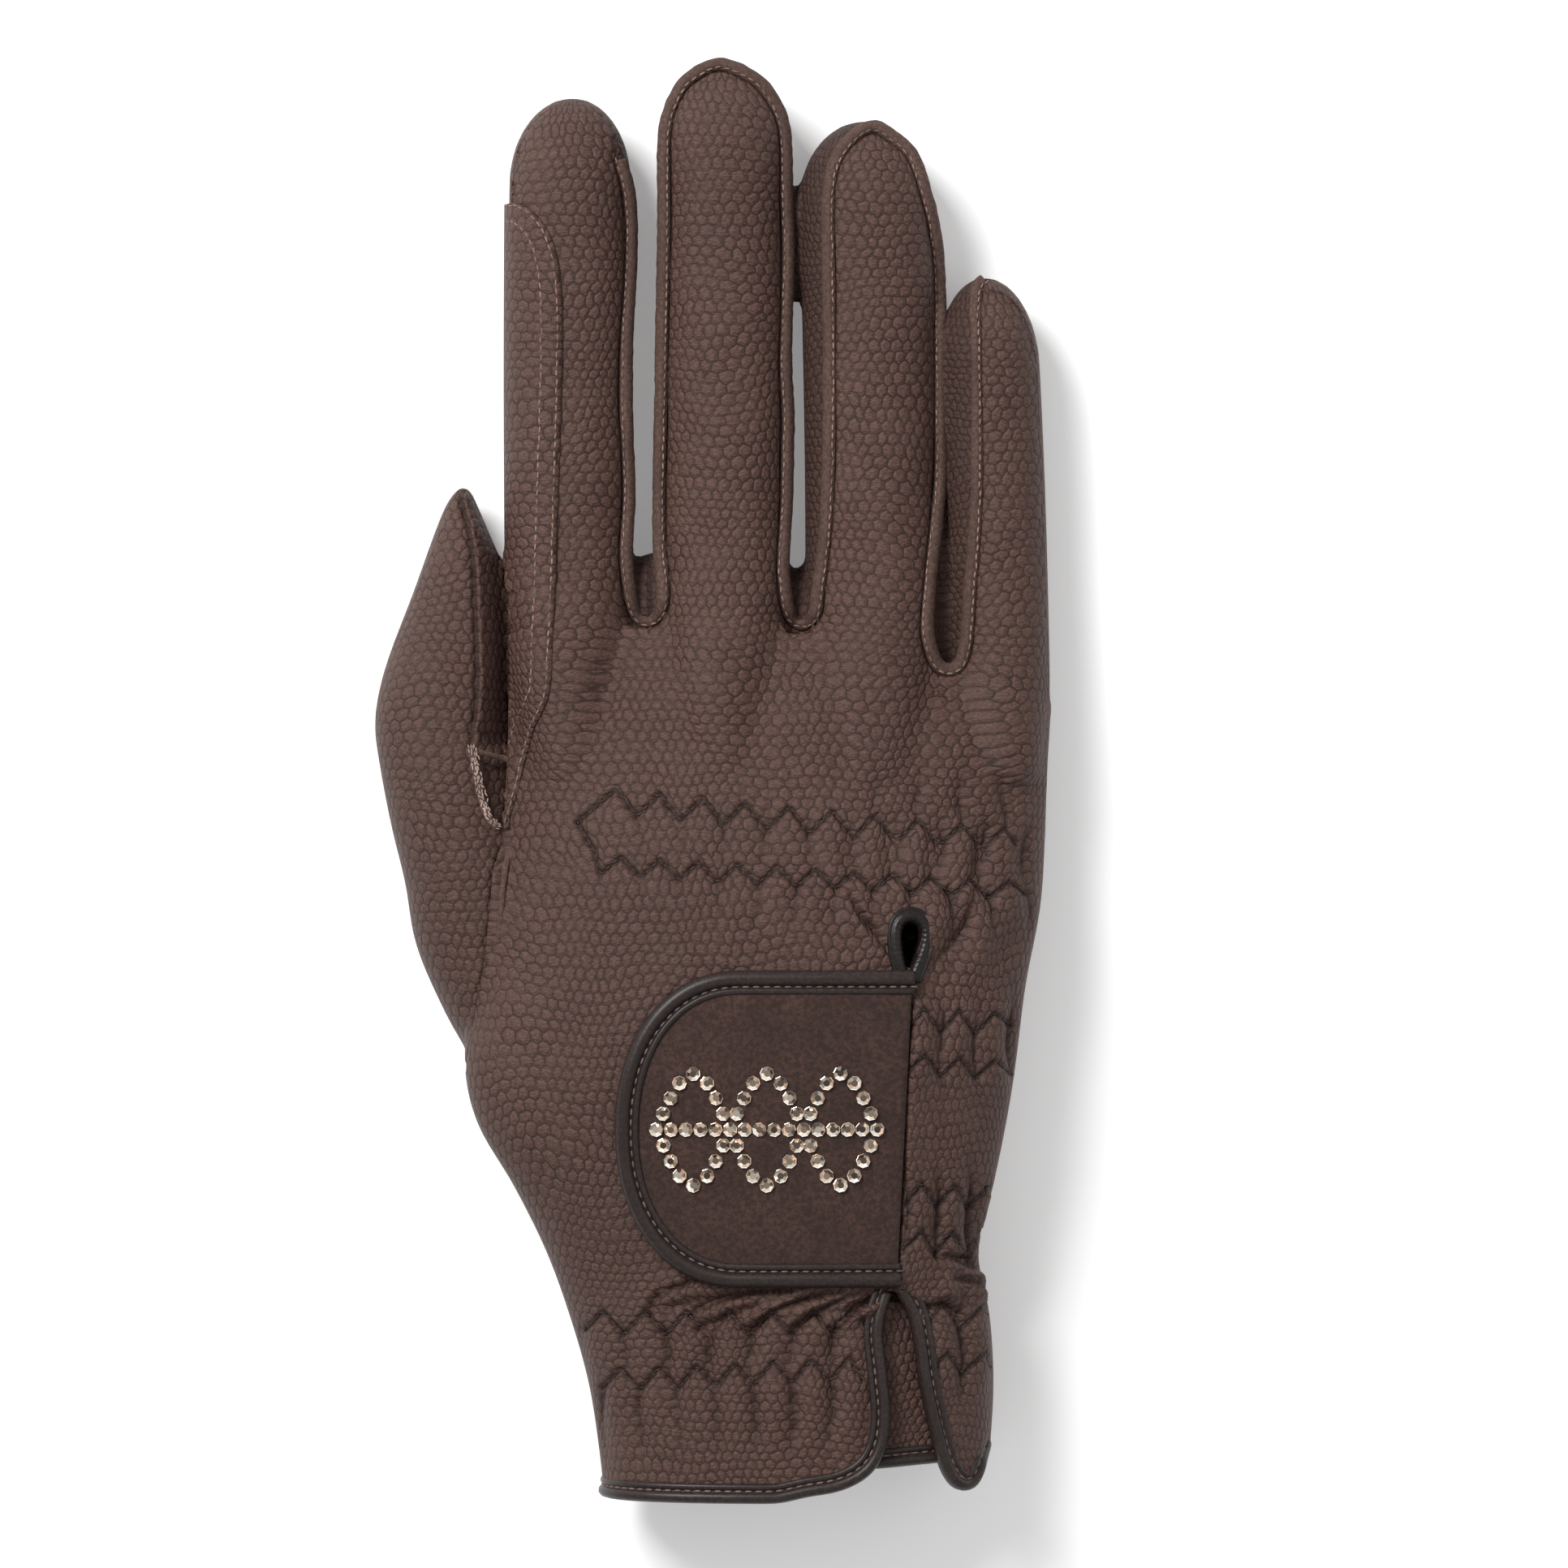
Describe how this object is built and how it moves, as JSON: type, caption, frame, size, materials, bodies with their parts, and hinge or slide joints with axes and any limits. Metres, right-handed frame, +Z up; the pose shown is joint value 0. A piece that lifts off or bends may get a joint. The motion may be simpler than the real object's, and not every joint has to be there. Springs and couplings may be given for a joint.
{
  "type": "horse riding glove",
  "caption": "Right-hand leather riding glove with a pleated elastic wrist, a bound slit and a suede closing tab set with crystals.",
  "frame": {"origin": "middle of the underside, on the surface that the glove lies on", "axes": "+Y from the cuff to the fingertips, +Z up out of the back of the hand, thumb towards -X"},
  "size_m": [0.1166, 0.2474, 0.035],
  "materials": {
    "grained_leather": "pebble-grained dark-brown leather with a soft sheen",
    "binding_leather": "smooth dark-brown leather tape",
    "suede": "matte dark-brown suede",
    "crystal": "foil-backed cut crystal in champagne tones"
  },
  "bodies": {
    "root": {"back_panel": "grained_leather", "palm_panel": "grained_leather", "fourchette_index_middle": "grained_leather", "fourchette_middle_ring": "grained_leather", "fourchette_ring_little": "grained_leather", "thumb": "grained_leather", "index_patch": "grained_leather", "cuff_binding": "binding_leather", "slit_binding": "binding_leather", "strap": "suede", "strap_binding": "binding_leather", "crystal_field": "crystal"}
  },
  "joints": []
}
